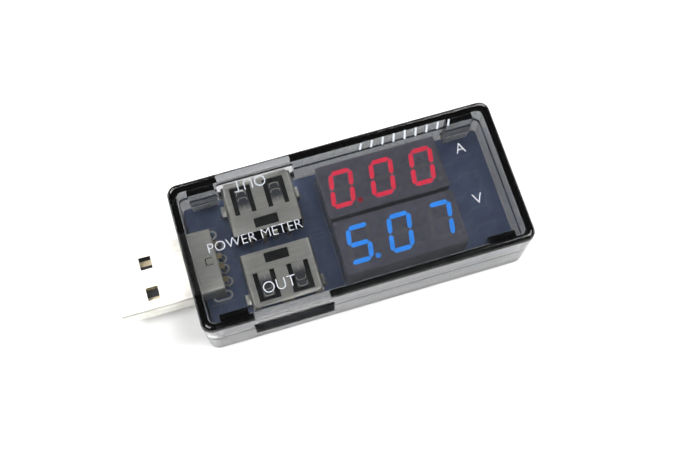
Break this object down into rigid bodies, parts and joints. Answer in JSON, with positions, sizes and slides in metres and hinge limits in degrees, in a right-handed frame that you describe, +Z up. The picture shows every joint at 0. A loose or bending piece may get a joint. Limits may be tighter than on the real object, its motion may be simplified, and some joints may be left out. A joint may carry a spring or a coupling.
{
  "type": "usb power meter",
  "caption": "Pass-through volt and ammeter in a clear smoky case, with a USB-A plug at one end, USB-A sockets in both long sides and two lit digit rows.",
  "frame": {"origin": "middle of the case's flat bottom face", "axes": "+X away from the plug along the length, +Y to the far socket, +Z up out of the display face"},
  "size_m": [0.0742, 0.028, 0.0142],
  "materials": {
    "black_insulator": "moulded",
    "blue_light": "diffusing resin, lit",
    "chip_black": "moulded epoxy",
    "display_back": "bare laminate",
    "display_face": "dark printed face",
    "gilt_contact": "gold flash",
    "navy_board": "solder-mask lacquer",
    "plated_shell": "nickel plated, drawn grain",
    "red_light": "diffusing resin, lit",
    "smoky_case": "clear smoky polycarbonate, polished",
    "solder": "bright",
    "tan_ceramic": "fired ceramic with tinned ends",
    "tinned_pins": "tinned",
    "unlit_well": "diffusing resin, unlit",
    "white_print": "screen-printed white ink on the cover and the board",
    "masked_track": "copper tracks and vias seen through the navy solder mask"
  },
  "bodies": {
    "meter_body": {"ammeter_display_board": "display_back", "ammeter_housing": "display_face", "ammeter_lit_segments": "red_light", "ammeter_pins": "tinned_pins", "ammeter_unlit_segments": "unlit_well", "amplifier_leads": "tinned_pins", "base": "smoky_case", "ceramic_capacitors": "tan_ceramic", "chip_resistors": "chip_black", "circuit_board": "navy_board", "controller_chip": "chip_black", "controller_leads": "tinned_pins", "cover": "smoky_case", "current_amplifier": "chip_black", "far_contact_tail_data_minus": "gilt_contact", "far_contact_tail_data_plus": "gilt_contact", "far_contact_tail_ground": "gilt_contact", "far_contact_tail_vbus": "gilt_contact", "far_socket_insulator": "black_insulator", "far_socket_shell": "plated_shell", "near_contact_tail_data_minus": "gilt_contact", "near_contact_tail_data_plus": "gilt_contact", "near_contact_tail_ground": "gilt_contact", "near_contact_tail_vbus": "gilt_contact", "near_socket_insulator": "black_insulator", "near_socket_shell": "plated_shell", "plug_contact_data_minus": "gilt_contact", "plug_contact_data_plus": "gilt_contact", "plug_contact_ground": "gilt_contact", "plug_contact_vbus": "gilt_contact", "plug_insulator": "black_insulator", "plug_shell": "plated_shell", "regulator_leads": "tinned_pins", "shunt_resistor": "chip_black", "solder_joints": "solder", "voltage_regulator": "chip_black", "voltmeter_display_board": "display_back", "voltmeter_housing": "display_face", "voltmeter_lit_segments": "blue_light", "voltmeter_pins": "tinned_pins", "voltmeter_unlit_segments": "unlit_well"},
    "near_contact_leaves": {"near_contact_leaf_data_minus": "gilt_contact", "near_contact_leaf_data_plus": "gilt_contact", "near_contact_leaf_ground": "gilt_contact", "near_contact_leaf_vbus": "gilt_contact"},
    "near_top_springs": {"near_socket_top_springs": "plated_shell"},
    "near_bottom_springs": {"near_socket_bottom_springs": "plated_shell"},
    "far_contact_leaves": {"far_contact_leaf_data_minus": "gilt_contact", "far_contact_leaf_data_plus": "gilt_contact", "far_contact_leaf_ground": "gilt_contact", "far_contact_leaf_vbus": "gilt_contact"},
    "far_top_springs": {"far_socket_top_springs": "plated_shell"},
    "far_bottom_springs": {"far_socket_bottom_springs": "plated_shell"}
  },
  "joints": [
    {"name": "near_contacts_flex", "type": "hinge", "parent": "meter_body", "child": "near_contact_leaves", "pos_m": [-0.01455, -0.00404, 0.0075], "axis": [-1, 0, 0], "range_deg": [0, 4], "stiffness_Nm_per_rad": 0.36},
    {"name": "near_top_springs_flex", "type": "hinge", "parent": "meter_body", "child": "near_top_springs", "pos_m": [-0.01455, -0.00505, 0.0098], "axis": [-1, 0, 0], "range_deg": [0, 5.5], "stiffness_Nm_per_rad": 0.14},
    {"name": "near_bottom_springs_flex", "type": "hinge", "parent": "meter_body", "child": "near_bottom_springs", "pos_m": [-0.01455, -0.00505, 0.0044], "axis": [1, 0, 0], "range_deg": [0, 5.5], "stiffness_Nm_per_rad": 0.14},
    {"name": "far_contacts_flex", "type": "hinge", "parent": "meter_body", "child": "far_contact_leaves", "pos_m": [-0.01455, 0.00524, 0.0075], "axis": [1, 0, 0], "range_deg": [0, 4], "stiffness_Nm_per_rad": 0.36},
    {"name": "far_top_springs_flex", "type": "hinge", "parent": "meter_body", "child": "far_top_springs", "pos_m": [-0.01455, 0.00624, 0.0098], "axis": [1, 0, 0], "range_deg": [0, 5.5], "stiffness_Nm_per_rad": 0.14},
    {"name": "far_bottom_springs_flex", "type": "hinge", "parent": "meter_body", "child": "far_bottom_springs", "pos_m": [-0.01455, 0.00624, 0.0044], "axis": [-1, 0, 0], "range_deg": [0, 5.5], "stiffness_Nm_per_rad": 0.14}
  ]
}
